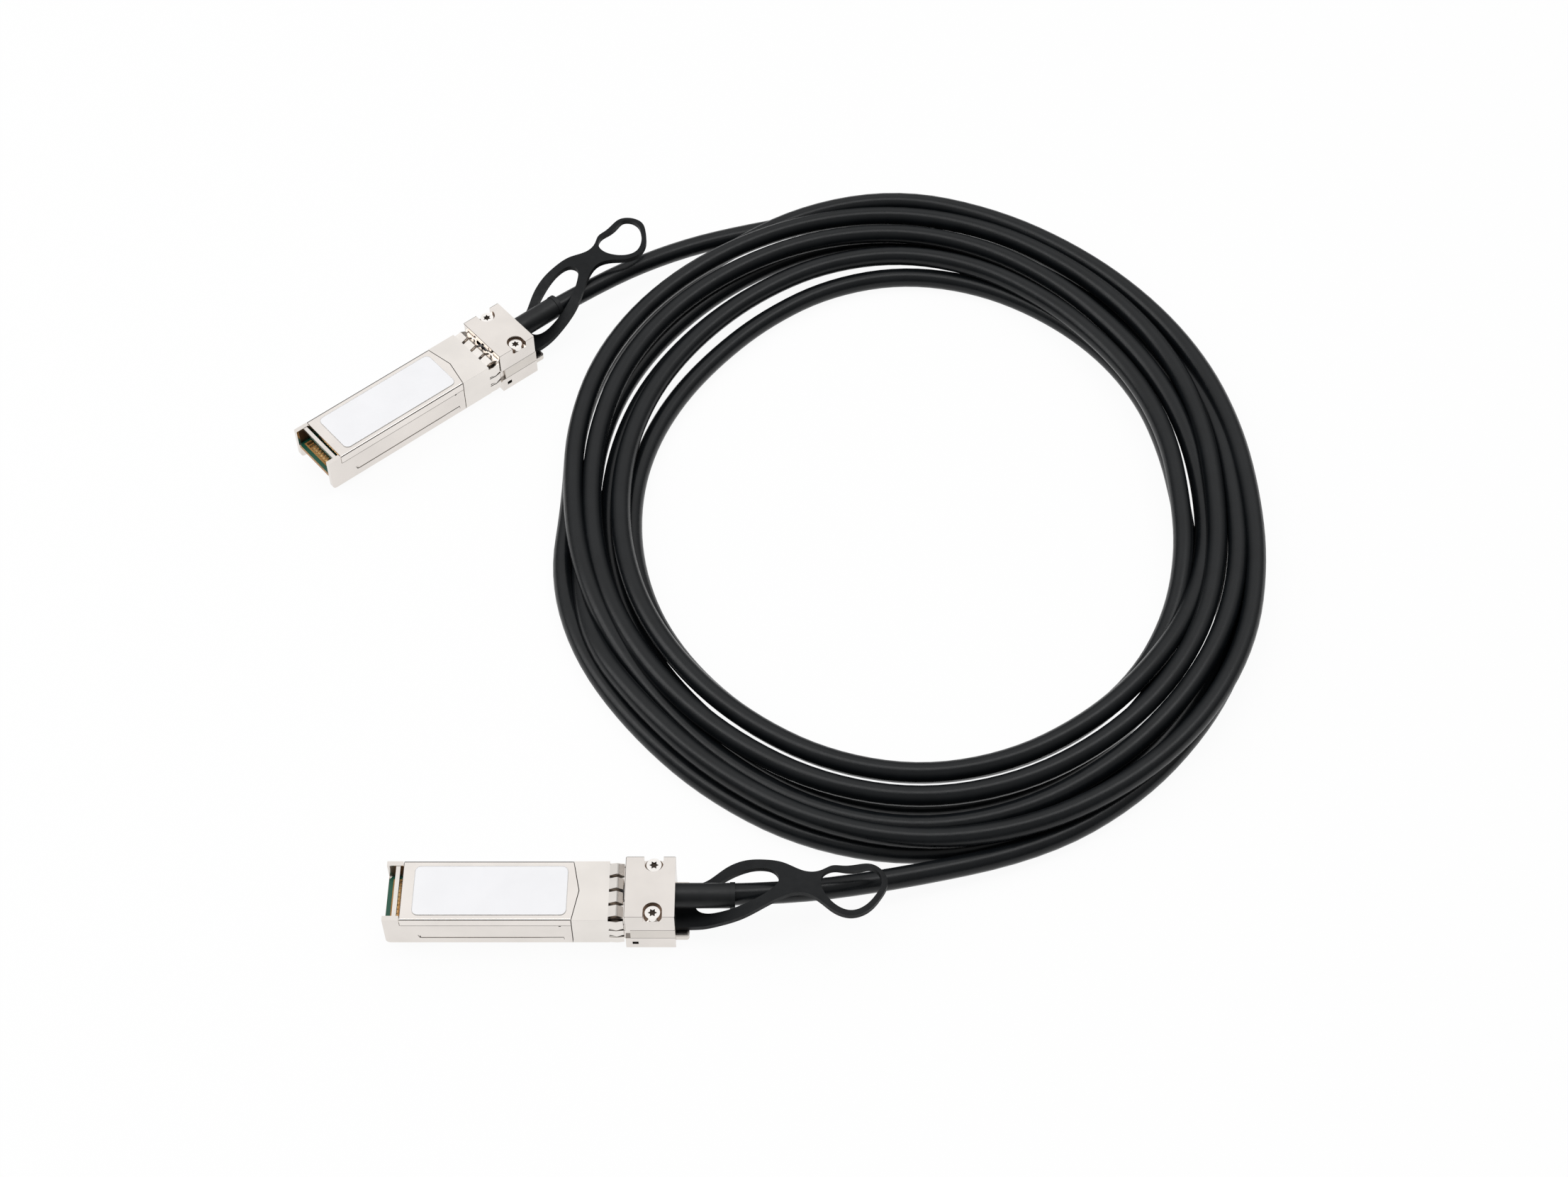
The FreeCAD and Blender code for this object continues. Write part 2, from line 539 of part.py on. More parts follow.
def release_slider(label):
    """Bent sheet slider: arms along the block, a yoke and a tray behind it, and a tongue with two tines underneath."""
    body = new_body(label)
    outer, inner = BLOCK_HALF, f"({BLOCK_HALF} - sheet)"
    top = f"({SPLIT} - slide_gap / 2)"
    yoke = sketch_on(body, "YZ_Plane", YOKE)
    polygon(yoke, mirrored([("tray_side", TONGUE_UNDER), ("tray_side", SHELF_UNDER), (outer, SHELF_UNDER),
                            (outer, top), ("yoke_side", top), ("yoke_side", "yoke_high")]))
    pad(body, yoke, "sheet")
    arms = sketch_on(body, "YZ_Plane", EAR_X)
    rectangle(arms, (inner, SHELF_UNDER), (outer, top))
    rectangle(arms, (f"-{outer}", SHELF_UNDER), (f"-{inner}", top))
    pad(body, arms, f"{REAR} - {EAR_X}")
    tray = sketch_on(body, "XY_Plane", TONGUE_UNDER)
    rectangle(tray, (f"{REAR} - sheet", "-tray_side"), (f"{REAR} + tray_long", "tray_side"))
    pad(body, tray, "tray_high")
    pocket = sketch_on(body, "XY_Plane", f"{TONGUE_UNDER} + sheet")
    rectangle(pocket, (REAR, "-tray_side + tray_rim"), (f"{REAR} + tray_long - tray_rim", "tray_side - tray_rim"))
    cut(body, pocket, "tray_high - sheet")
    round_edges(body, "tray_round", lambda edge: runs_along(edge, 2) and abs(edge.CenterOfMass.x - size("nose_long")
                - size("block_long") - size("tray_long")) < 0.01)
    tongue = sketch_on(body, "XY_Plane", TONGUE_UNDER)
    rectangle(tongue, (TINES, "-tongue_wide / 2"), (REAR, "tongue_wide / 2"))
    pad(body, tongue, "sheet")
    ears = sketch_on(body, "XY_Plane", TONGUE_UNDER)
    rectangle(ears, (EAR_X, "-ear_side"), (f"{EAR_X} + ear_long", "ear_side"))
    pad(body, ears, "sheet")
    ramp = sketch_on(body, "XZ_Plane")
    polygon(ramp, [(TINES, f"{TONGUE_UNDER} - ramp_drop"), (f"{TINES} + 0.2", f"{TONGUE_UNDER} - ramp_drop"),
                   (f"{TINES} + tine_ramp", TONGUE_UNDER), (f"{TINES} + tine_ramp", f"{TONGUE_UNDER} + sheet"),
                   (TINES, f"{TONGUE_UNDER} + sheet")])
    pad(body, ramp, "tongue_wide", symmetric=True)
    slot = sketch_on(body, "XY_Plane", f"{TONGUE_UNDER} - ramp_drop - 1")
    rectangle(slot, (f"{TINES} - 1", "-tine_slot / 2"), ("nose_long - slot_back", "tine_slot / 2"))
    cut(body, slot, "ramp_drop + sheet + 2")
    return body


def return_springs(label):
    """Two folded leaf springs between the slider's ears and the end of their room in the base."""
    low = size("spring_low") + 0.1
    high = size("channel_top") - 0.1
    front = size("nose_long") + size("arm_front") + size("ear_long")
    back = size("nose_long") + size("arm_front") + size("spring_room")
    folds = int(size("leaf_count"))
    step = (back - front) / folds
    reach = (size("spring_side") - size("tongue_wide") / 2 - size("channel_gap")) / 2 - 0.35
    pieces = []
    for side in (-1, 1):
        middle = side * (size("spring_side") + size("tongue_wide") / 2 + size("channel_gap")) / 2
        line = [Vector(front + step * i, middle + reach * (-1) ** i, low) for i in range(folds + 1)]
        # Both sides of the ribbon are the same zigzag, shifted so that each run has the leaf's thickness.
        half = Vector(0, size("leaf_thick") * math.hypot(step, 2 * reach) / step / 2, 0)
        outline = [p + half for p in line] + [p - half for p in reversed(line)]
        leaf = Part.Face(Part.makePolygon(outline + outline[:1])).extrude(Vector(0, 0, high - low))
        piece = doc.addObject("Part::Feature", "%s_%s" % (label, "left" if side > 0 else "right"))
        piece.Shape = leaf
        pieces.append(piece)
    return group(label, pieces)


# ---------------------------------------------------------------- wires and the cable

def rounded_path(points):
    """Straight runs joined by tangent arcs, each arc as large as its two runs allow."""
    points = [Vector(*p) for p in points]
    edges, radii = [], []
    last = points[0]
    for before, corner, after in zip(points, points[1:], points[2:]):
        come, leave = (before - corner), (after - corner)
        shorter = min(come.Length, leave.Length)
        come, leave = come.normalize(), leave.normalize()
        turn = math.pi - come.getAngle(leave)
        reach = 0.45 * shorter
        radii.append(reach / math.tan(turn / 2))
        begin, end = corner + come * reach, corner + leave * reach
        bisector = (come + leave).normalize()
        centre = corner + bisector * (radii[-1] / math.cos(turn / 2))
        middle = centre - bisector * radii[-1]
        if (begin - last).Length > 1e-6:
            edges.append(Part.LineSegment(last, begin).toShape())
        edges.append(Part.Arc(begin, middle, end).toShape())
        last = end
    edges.append(Part.LineSegment(last, points[-1]).toShape())
    return Part.Wire(edges), radii


def tube_along(points, diameter):
    """A round solid along a rounded path, with its radii and its length."""
    path, radii = rounded_path(points)
    start = path.Edges[0]
    heading = start.tangentAt(start.FirstParameter)
    disc = Part.Wire(Part.makeCircle(diameter / 2, Vector(*points[0]), heading))
    tube = path.makePipeShell([disc], True, False)
    expected = math.pi * diameter ** 2 / 4 * path.Length
    if abs(tube.Volume / expected - 1) > 0.01:
        raise ValueError("a tube's volume is off: %.3f against %.3f" % (tube.Volume, expected))
    return tube, radii, path.Length


def conductors(label):
    """Four insulated wires, in two pairs, from the cable's end down to the card, bent at two mitres."""
    radius = size("wire_size") / 2
    start = size("nose_long") + size("clamp_start")
    level = size("nose_drop") + size("card_top") + radius
    pieces = []
    for side in (-1, 1):
        for pair in (0, 1):
            rise = radius * 1.1 if pair else -radius * 1.1
            inner, spread = side * radius * 1.15, side * (1.2 + pair * 1.4)
            # Each wire comes in line with the cable, drops to the card and lies flat on it.
            points = [(start, inner, size("cable_height") + rise),
                      (start - 1.6, inner, size("cable_height") + rise),
                      (start - 8.6, spread, level),
                      (size("nose_long") - size("card_back") - size("wire_lap"), spread, level)]
            piece = doc.addObject("Part::Feature", "%s_%d_%d" % (label, side + 1, pair))
            path = Part.makePolygon([Vector(*p) for p in points])
            disc = Part.Wire(Part.makeCircle(radius, Vector(*points[0]), Vector(1, 0, 0)))
            piece.Shape = path.makePipeShell([disc], True, False, 1)
            pieces.append(piece)
    return group(label, pieces)


# Pull tab in plan: x behind the block's rear face, y across. One root plate lies on the slider's shelf, two
# legs bow out round the boot and meet in a web over the cable, and the strap beyond is an uneven finger loop.
TAB_OUTSIDE = [(0.0, 4.8), (3.1, 4.8), (6.0, 5.2), (9.9, 6.7), (13.7, 6.9), (16.8, 6.3), (21.4, 5.1),
               (25.2, 3.3), (27.1, 3.1), (29.0, 3.7), (30.8, 4.6), (33.0, 4.6), (35.9, 5.0), (38.3, 5.2),
               (40.4, 4.0), (41.6, 0.9), (40.4, -2.0), (37.7, -5.3), (34.2, -6.6), (30.9, -5.5),
               (28.2, -3.2), (25.2, -1.7), (21.4, -2.3), (18.4, -3.7), (13.8, -5.5), (7.7, -5.3),
               (3.1, -4.8), (0.0, -4.8)]
TAB_FORK = [(3.8, 0.2), (4.3, -1.2), (5.7, -2.1), (7.7, -2.7), (11.0, -3.1), (15.3, -2.5), (19.0, -0.5),
            (20.3, 1.4), (19.6, 3.1), (17.4, 4.2), (13.7, 4.6), (9.6, 4.1), (6.3, 2.9), (4.5, 1.7)]
TAB_LOOP = [(28.5, 0.8), (29.3, 2.9), (31.0, 3.7), (33.6, 3.5), (36.7, 3.9), (38.5, 4.2), (39.9, 3.2),
            (40.4, 0.9), (39.2, -1.8), (36.9, -4.4), (34.3, -5.4), (31.6, -4.4), (29.4, -1.9)]
# The tab's middle line from the side: x behind the block's rear face, z above the tray's rim.
TAB_SIDE = [(-1.0, 0.6), (3.0, 0.6), (5.6, 1.3), (8.4, 3.0), (12.2, 5.6), (16.0, 7.6), (20.2, 8.5),
            (25.0, 8.6), (33.0, 8.3), (43.0, 7.9)]


def smooth_line(points, closed=False):
    line = Part.BSplineCurve()
    line.interpolate([Vector(*p) for p in points], PeriodicFlag=closed)
    return line.toShape()


def pull_tab(label, swing):
    """Flexible pull tab: the plan outline standing up, cut by a gently rising sheet."""
    rear = size("nose_long") + size("block_long")

    def bent(points):
        placed = []
        for x, y in points:
            along = min(max((x - 5.0) / 35.0, 0.0), 1.0)
            placed.append((rear + x, y + swing * along * along * (3 - 2 * along), 0))
        return placed

    outside, fork, loop = bent(TAB_OUTSIDE), bent(TAB_FORK), bent(TAB_LOOP)
    root = Part.LineSegment(Vector(*outside[-1]), Vector(*outside[0])).toShape()
    rim = Part.Wire([smooth_line(outside), root])
    holes = [Part.Wire([smooth_line(line, closed=True)]) for line in (fork, loop)]
    plan = Part.Face([rim] + holes)
    plan.validate()
    rim_top = size("nose_drop") + size("tongue_low") + size("tray_high")
    plan.translate(Vector(0, 0, rim_top))
    column = plan.extrude(Vector(0, 0, size("block_high") + 10))
    half = size("tab_thick") / 2
    deep = size("block_wide") + abs(swing)
    upper = [(rear + x, -deep, rim_top + z + half) for x, z in TAB_SIDE]
    lower = [(rear + x, -deep, rim_top + z - half) for x, z in reversed(TAB_SIDE)]
    side = Part.Wire([smooth_line(upper), Part.LineSegment(Vector(*upper[-1]), Vector(*lower[0])).toShape(),
                      smooth_line(lower), Part.LineSegment(Vector(*lower[-1]), Vector(*upper[0])).toShape()])
    strip = Part.Face(side).extrude(Vector(0, 2 * deep, 0))
    item = doc.addObject("Part::Feature", label)
    item.Label = label
    item.Shape = column.common(strip).Solids[0]
    return item


def oval(wide, deep, flat, x, y, z):
    """A four-centred oval of tangent arcs: its round ends have a radius that is flat less than half its width."""
    a, b, r = wide / 2, deep / 2, wide / 2 - flat
    side_radius = (a * a + (b - r) ** 2 - r * r) / (2 * (a - r))
    side_centre = side_radius - a
    share = math.hypot(side_centre, b - r)
    joint_x = r * side_centre / share
    joint_y = (b - r) + r * (b - r) / share
    centre = Vector(x, y, z)
    top = Part.Arc(centre + Vector(joint_x, joint_y, 0), centre + Vector(0, b, 0), centre + Vector(-joint_x, joint_y, 0))
    left = Part.Arc(centre + Vector(-joint_x, joint_y, 0), centre + Vector(-a, 0, 0), centre + Vector(-joint_x, -joint_y, 0))
    bottom = Part.Arc(centre + Vector(-joint_x, -joint_y, 0), centre + Vector(0, -b, 0), centre + Vector(joint_x, -joint_y, 0))
    right = Part.Arc(centre + Vector(joint_x, -joint_y, 0), centre + Vector(a, 0, 0), centre + Vector(joint_x, joint_y, 0))
    return Part.Wire([arc.toShape() for arc in (top, left, bottom, right)])


def cable_coil(label):
    """The coil's outer shape as one ring, two cables high, with bevelled edges."""
    outer = oval(size("coil_wide"), size("coil_deep"), size("coil_flat"), size("coil_x"), size("coil_y"), 0)
    inner = oval(size("hole_wide"), size("hole_deep"), size("hole_flat"), size("hole_x"), size("hole_y"), 0)
    ring = Part.Face([outer, inner])
    ring.validate()
    solid = ring.extrude(Vector(0, 0, size("coil_layers") * size("cable_size")))
    rims = [edge for edge in solid.Edges if abs(edge.tangentAt(edge.FirstParameter).z) < 0.5]
    item = doc.addObject("Part::Feature", label)
    item.Label = label
    item.Shape = solid.makeChamfer(size("coil_bevel"), rims)
    return item


# Route of the cable from each connector to the coil, chosen by hand: x, y, z in the row's frame.
FLAT = size("cable_size") / 2
LEAD_A = [(23.4, 0, size("cable_height")), (47.6, 6.0, 4.0), (70.4, 14.9, FLAT)]
LEAD_B = [(-20.7, 163.8, 8.0), (0, 179.6, 4.1), (22, 189.2, FLAT)]


def cable_lead(label, points):
    tube, radii, length = tube_along(points, size("cable_size"))
    item = doc.addObject("Part::Feature", label)
    item.Label = label
    item.Shape = tube
    print(label, "length %.1f, radii" % length, [round(r, 1) for r in radii])
    return item


# ---------------------------------------------------------------- the two connectors and the cable

FOOT_X = f"({REAR} - block_long / 2)"
foot = size("nose_long") + size("block_long") / 2
PLACE_A = FreeCAD.Placement(Vector(-foot, 0, 0), FreeCAD.Rotation(0, 0, 0))
PLACE_B = FreeCAD.Placement(Vector(size("nose_b_x"), size("nose_b_y"), 0),
                            FreeCAD.Rotation(size("turn_b"), 0, 0))


def connector(prefix, place, swing):
    """Every piece of one connector, put in its place."""
    parts = [base_shell(prefix + "base_shell"), nose_cover(prefix + "nose_cover"),
             emi_collar(prefix + "emi_collar"), rear_cover(prefix + "rear_cover"),
             screws(prefix + "screws"), paddle_card(prefix + "paddle_card"),
             contact_pads(prefix + "contact_pads"), memory_chip(prefix + "memory_chip"),
             conductors(prefix + "conductors"), cable_clamp(prefix + "cable_clamp"),
             boot(prefix + "cable_boot"), blank_label(prefix + "label"),
             release_slider(prefix + "release_slider"), return_springs(prefix + "return_springs"),
             pull_tab(prefix + "pull_tab", swing)]
    for part in parts:
        part.Placement = place
    return parts


def clamp_point(place):
    """Where a connector's clamp starts, on the cable's axis."""
    return tuple(place.multVec(Vector(size("nose_long") + size("clamp_start"), 0, size("cable_height"))))


nodes = connector("a_", PLACE_A, 0.0)
nodes += connector("b_", PLACE_B, size("tab_swing"))
nodes.append(cable_lead("cable_lead_a", [clamp_point(PLACE_A)] + LEAD_A))
nodes.append(cable_lead("cable_lead_b", [clamp_point(PLACE_B)] + LEAD_B))
nodes.append(cable_coil("cable_coil"))
doc.recompute()

# ---------------------------------------------------------------- checks and export

for item in doc.Objects:
    if "Invalid" in item.State or "Error" in item.State:
        raise RuntimeError("%s is not in order: %s" % (item.Label, item.State))
for part in nodes:
    if part.Shape.isNull() or not part.Shape.isValid():
        raise RuntimeError("%s has no valid shape" % part.Label)
    if not part.Shape.Solids or part.Shape.Volume <= 0:
        raise RuntimeError("%s is not solid" % part.Label)

os.makedirs("parts", exist_ok=True)
for part in nodes:
    part.Shape.exportStep("parts/%s.step" % part.Label)
    print("%-20s solids %2d  volume %10.2f" % (part.Label, len(part.Shape.Solids), part.Shape.Volume))
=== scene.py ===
"""Direct attach copper cable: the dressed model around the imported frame."""
import json
import math

import bmesh
import bpy
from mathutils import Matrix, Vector


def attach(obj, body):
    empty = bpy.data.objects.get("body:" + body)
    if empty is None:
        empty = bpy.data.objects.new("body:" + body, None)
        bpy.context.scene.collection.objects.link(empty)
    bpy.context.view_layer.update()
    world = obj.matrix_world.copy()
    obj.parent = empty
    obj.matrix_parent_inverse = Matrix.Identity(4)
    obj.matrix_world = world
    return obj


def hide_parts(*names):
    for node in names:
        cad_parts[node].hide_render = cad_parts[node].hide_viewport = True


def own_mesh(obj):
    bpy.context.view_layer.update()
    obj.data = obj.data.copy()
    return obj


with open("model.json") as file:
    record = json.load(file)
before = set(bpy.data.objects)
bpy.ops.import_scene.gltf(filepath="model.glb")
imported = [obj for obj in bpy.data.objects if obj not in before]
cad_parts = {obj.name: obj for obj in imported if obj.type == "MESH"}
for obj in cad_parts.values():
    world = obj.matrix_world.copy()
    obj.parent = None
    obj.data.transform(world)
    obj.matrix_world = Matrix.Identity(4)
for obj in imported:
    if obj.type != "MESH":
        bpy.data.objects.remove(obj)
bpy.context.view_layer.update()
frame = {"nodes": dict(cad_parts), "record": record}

MM = 0.001
NODES = frame["nodes"]
RECORD = frame["record"]


def show(name, data):
    """A new object in the scene, at the frame's origin until it is placed."""
    obj = bpy.data.objects.new(name, data)
    bpy.context.collection.objects.link(obj)
    return obj


# ---------------------------------------------------------------- camera

SENSOR = 36.0                                # mm, the sensor's width
LENS = 61.76                                 # mm
EYE = (0.0262, -0.2731, 0.4647)              # m, where the camera stands
AIM = (0.0262, 0.0822, 0.0)                  # m, what it looks at


def point_at(obj, target):
    """Turn a lamp or the camera so that it looks at a place in metres."""
    away = Vector(target) - obj.location
    obj.rotation_euler = away.to_track_quat("-Z", "Y").to_euler()


lens = bpy.data.cameras.new("camera")
lens.sensor_width = SENSOR
lens.sensor_fit = "HORIZONTAL"
lens.lens = LENS
camera = show("camera", lens)
camera.location = EYE
point_at(camera, AIM)
bpy.context.scene.camera = camera


# ---------------------------------------------------------------- materials

def colour_ramp(tree, source, stops):
    """A colour ramp with (place, colour) stops."""
    ramp = tree.nodes.new("ShaderNodeValToRGB")
    marks = ramp.color_ramp.elements
    while len(marks) < len(stops):
        marks.new(0.5)
    for mark, (place, colour) in zip(marks, stops):
        mark.position = place
        mark.color = (*colour, 1.0)
    tree.links.new(source, ramp.inputs["Fac"])
    return ramp.outputs["Color"]


class Shade:
    """A node material on one Principled shader, built up a layer at a time."""

    def __init__(self, name, metallic=0.0, roughness=0.5, **sockets):
        self.material = bpy.data.materials.new(name)
        self.material.use_nodes = True
        self.tree = self.material.node_tree
        self.shader = self.tree.nodes["Principled BSDF"]
        self.shader.inputs["Metallic"].default_value = metallic
        self.shader.inputs["Roughness"].default_value = roughness
        for socket, value in sockets.items():
            self.shader.inputs[socket.replace("_", " ")].default_value = value
        self.place = self.tree.nodes.new("ShaderNodeTexCoord").outputs["Object"]
        self.normal = None

    def link(self, source, target):
        self.tree.links.new(source, target)

    def noise(self, scale, detail=3.0, stretch=(1, 1, 1), rough=0.55):
        """Noise whose grain is about 1/scale metres; stretch squeezes it along the axes."""
        mapping = self.tree.nodes.new("ShaderNodeMapping")
        mapping.inputs["Scale"].default_value = stretch
        self.link(self.place, mapping.inputs["Vector"])
        texture = self.tree.nodes.new("ShaderNodeTexNoise")
        texture.inputs["Scale"].default_value = scale
        texture.inputs["Detail"].default_value = detail
        texture.inputs["Roughness"].default_value = rough
        self.link(mapping.outputs["Vector"], texture.inputs["Vector"])
        return texture.outputs["Fac"]

    def spread(self, source, low, high, start=0.3, end=0.7):
        """A number that goes from low to high as the source goes from start to end."""
        node = self.tree.nodes.new("ShaderNodeMapRange")
        for socket, value in (("From Min", start), ("From Max", end),
                              ("To Min", low), ("To Max", high)):
            node.inputs[socket].default_value = value
        self.link(source, node.inputs["Value"])
        return node.outputs["Result"]

    def colour(self, source):
        self.link(source, self.shader.inputs["Base Color"])
        return self

    def rough(self, source):
        self.link(source, self.shader.inputs["Roughness"])
        return self

    def bump(self, source, height, strength=1.0):
        """Relief of a given height in metres, on top of any bump before it."""
        node = self.tree.nodes.new("ShaderNodeBump")
        node.inputs["Strength"].default_value = strength
        node.inputs["Distance"].default_value = height
        self.link(source, node.inputs["Height"])
        if self.normal is not None:
            self.link(self.normal, node.inputs["Normal"])
        self.normal = node.outputs["Normal"]
        self.link(self.normal, self.shader.inputs["Normal"])
        return self


MOTTLE = 0.92                                # how dark a metal's dull patches are beside its tint


def grey(level):
    return (level, level, level)


def nickel(name, tint, low, high, grain=(1, 1, 1)):
    """Plated sheet or die casting: a soft mottle in colour and gloss."""
    shade = Shade(name, metallic=1.0)
    mottle = shade.noise(110, 3, grain)
    dark = tuple(MOTTLE * c for c in tint)
    shade.colour(colour_ramp(shade.tree, mottle, [(0.3, dark), (0.7, tint)]))
    shade.rough(shade.spread(shade.noise(400, 3, grain), low, high))
    shade.bump(shade.noise(180, 2), 0.000020, 0.35)
    shade.bump(shade.noise(3000, 2, grain), 0.0000012, 0.5)
    return shade.material


def plastic(name, dark, light, low, high, grain=0.000012, scale=1800, gloss=0.5):
    """Moulded plastic, rubber, paper or board: fine texture and a slight change of tone."""
    shade = Shade(name, Specular_IOR_Level=gloss)
    shade.colour(colour_ramp(shade.tree, shade.noise(160, 4), [(0.3, dark), (0.7, light)]))
    shade.rough(shade.spread(shade.noise(700, 3), low, high))
    shade.bump(shade.noise(scale, 3), grain, 0.6)
    return shade.material


FINISH = {
    "shell_metal": nickel("shell_nickel", (0.80, 0.753, 0.712), 0.14, 0.22),
    "cover_metal": nickel("cover_nickel", (0.84, 0.792, 0.75), 0.12, 0.19),
    "collar_metal": nickel("collar_steel", (0.83, 0.788, 0.746), 0.13, 0.20),
    "screw_metal": nickel("screw_steel", (0.93, 0.895, 0.86), 0.13, 0.20),
    "slider_metal": nickel("slider_steel", (0.71, 0.665, 0.617), 0.18, 0.28),
    "clamp_metal": nickel("clamp_brass", (0.62, 0.50, 0.30), 0.26, 0.38),
    "spring_metal": nickel("spring_steel", (0.58, 0.57, 0.56), 0.2, 0.3),
    "pad_gold": nickel("contact_gold", (0.80, 0.52, 0.24), 0.16, 0.28),
    "card_green": plastic("card_solder_mask", (0.004, 0.075, 0.045), (0.006, 0.11, 0.06), 0.3, 0.45),
    "chip_black": plastic("chip_moulding", grey(0.012), grey(0.02), 0.45, 0.6),
    "wire_insulation": plastic("wire_jacket", (0.62, 0.62, 0.64), (0.74, 0.74, 0.76), 0.3, 0.45),
    "boot_black": plastic("boot_rubber", (0.004, 0.0048, 0.0055), (0.0075, 0.0085, 0.0095),
                          0.40, 0.52, gloss=0.38),
    "label_white": plastic("label_paper", (0.90, 0.90, 0.92), (0.93, 0.93, 0.95),
                           0.42, 0.55, 0.000004),
    "tab_black": plastic("tab_polymer", (0.0030, 0.0038, 0.0046), (0.0055, 0.0065, 0.0075),
                         0.46, 0.60, gloss=0.22),
    "cable_black": plastic("cable_jacket", (0.0036, 0.0045, 0.0056), (0.0062, 0.0075, 0.0089),
                           0.26, 0.34, 0.000008, 1400, gloss=0.30),
}

SLOT = {part["node"]: part["material_slot"] for part in RECORD["subparts"]}


def dress(obj, finish):
    """Give a carried-over part its finish, and leave its mesh as it is."""
    if not obj.material_slots:
        obj.data.materials.append(finish)
    for held in obj.material_slots:
        held.link = "OBJECT"
        held.material = finish


SHARP = 35                                   # degrees, the least fold that counts as a sharp edge


def soften(obj, width, edge_shade=None, steps=2):
    """Break the sharp edges, as stamping, casting and plating leave them, and, where a dark finish is
    given, paint shade on them with it.
    """
    edge = obj.modifiers.new("edge", "BEVEL")
    if edge_shade is not None:
        obj.data.materials.append(edge_shade)
        obj.material_slots[-1].link = "OBJECT"
        obj.material_slots[-1].material = edge_shade
        edge.material = len(obj.material_slots) - 1
    edge.width = MM * width
    edge.segments = steps
    edge.limit_method = "ANGLE"
    edge.angle_limit = math.radians(SHARP)
    edge.use_clamp_overlap = True
    edge.harden_normals = True


# Painted shade: a dark finish on the softened edges, for the dark lines that run along them.
EDGE_SHADE = nickel("painted_edge_shade", (0.30, 0.265, 0.235), 0.24, 0.34)

# Slot: the edge's width in mm, and its dark finish of painted shade, where the edge has one.
SOFTENED = {"shell_metal": (0.15, EDGE_SHADE), "cover_metal": (0.13, EDGE_SHADE), "collar_metal": (0.05, None),
            "screw_metal": (0.08, EDGE_SHADE), "slider_metal": (0.09, EDGE_SHADE), "tab_black": (0.16, None),
            "boot_black": (0.18, None)}

for name, obj in NODES.items():
    dress(obj, FINISH[SLOT[name]])
    if SLOT[name] in SOFTENED:
        soften(obj, *SOFTENED[SLOT[name]])


# ---------------------------------------------------------------- fine pieces on the connectors

# Each connector in its own frame, in mm: x from the tip of the nose, y across, z up. These places
# repeat the CAD model's sizes, and STANDS says where the tip is and how many degrees it is turned.
STANDS = {"a": ((-52.1, 0.0), 0.0), "b": ((-78.6, 113.9), 40.7)}

LABEL = ((5.7, -5.5), (35.8, 5.5))           # two corners of the label
COVER = (3.4, 36.7)                          # the cover's two ends
TOP = 10.1                                   # the cover's upper face
SEAM = 36.8                                  # the upright seam on the flank, behind the cover
BLOCK = (47.3, 56.9)                         # the rear block's two ends, inside its rounded edges
BLOCK_TOP = 11.45                            # its upper edge
RECESS = (50.75, 54.65)                      # the two ends of the opening beside a screw
CARD = (5.1, 6.1)                            # the card's lower and upper face
SCREW = (52.7, 5.4)                          # a screw's middle, along and to its own side
SOCKET = 0.85                                # half of the width of the screw's socket

# How far out to each side the lines on a flank lie.
FOLD, GROOVE, FLANK, SLIT, BLOCK_FACE, BLOCK_SEAM = 6.60, 6.69, 6.70, 6.71, 6.83, 6.84


def fit_on(end, name, shape, finish, body="cable_assembly"):
    """Put a shape drawn in a connector's own frame on that connector."""
    (x, y), turn = STANDS[end]
    piece = show(f"{end}_{name}", shape)
    piece.location = (MM * x, MM * y, 0)
    piece.rotation_euler = (0, 0, math.radians(turn))
    shape.materials.append(finish)
    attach(piece, body)
    return piece


def slab(low, high, round_by):
    """A rounded plate, from its lowest and highest corner in mm."""
    mesh = bpy.data.meshes.new("slab")
    built = bmesh.new()
    for vert in bmesh.ops.create_cube(built, size=1.0)["verts"]:
        vert.co = Vector([MM * (a + (b - a) * (c + 0.5)) for a, b, c in zip(low, high, vert.co)])
    bmesh.ops.bevel(built, geom=built.edges[:], offset=MM * round_by, segments=2,
                    affect="EDGES", clamp_overlap=True)
    built.to_mesh(mesh)
    built.free()
    return mesh


def rounded(low, high, radius, steps=6):
    """A rectangle's outline with round corners, anticlockwise, in mm."""
    left, right = low[0] + radius, high[0] - radius
    front, back = low[1] + radius, high[1] - radius
    points = []
    for cx, cy, start in ((right, back, 0), (left, back, 90), (left, front, 180), (right, front, 270)):
        for k in range(steps + 1):
            turned = math.radians(start + 90 * k / steps)
            points.append((cx + radius * math.cos(turned), cy + radius * math.sin(turned)))
    return points


def rim(outline, z, thick):
    """A fine round bead along a closed outline."""
    line = bpy.data.curves.new("rim", "CURVE")
    line.dimensions = "3D"
    spline = line.splines.new("POLY")
    spline.points.add(len(outline) - 1)
    for point, (x, y) in zip(spline.points, outline):
        point.co = (MM * x, MM * y, MM * z, 1.0)
    spline.use_cyclic_u = True
    line.bevel_depth = MM * thick / 2
    line.bevel_resolution = 2
    return line


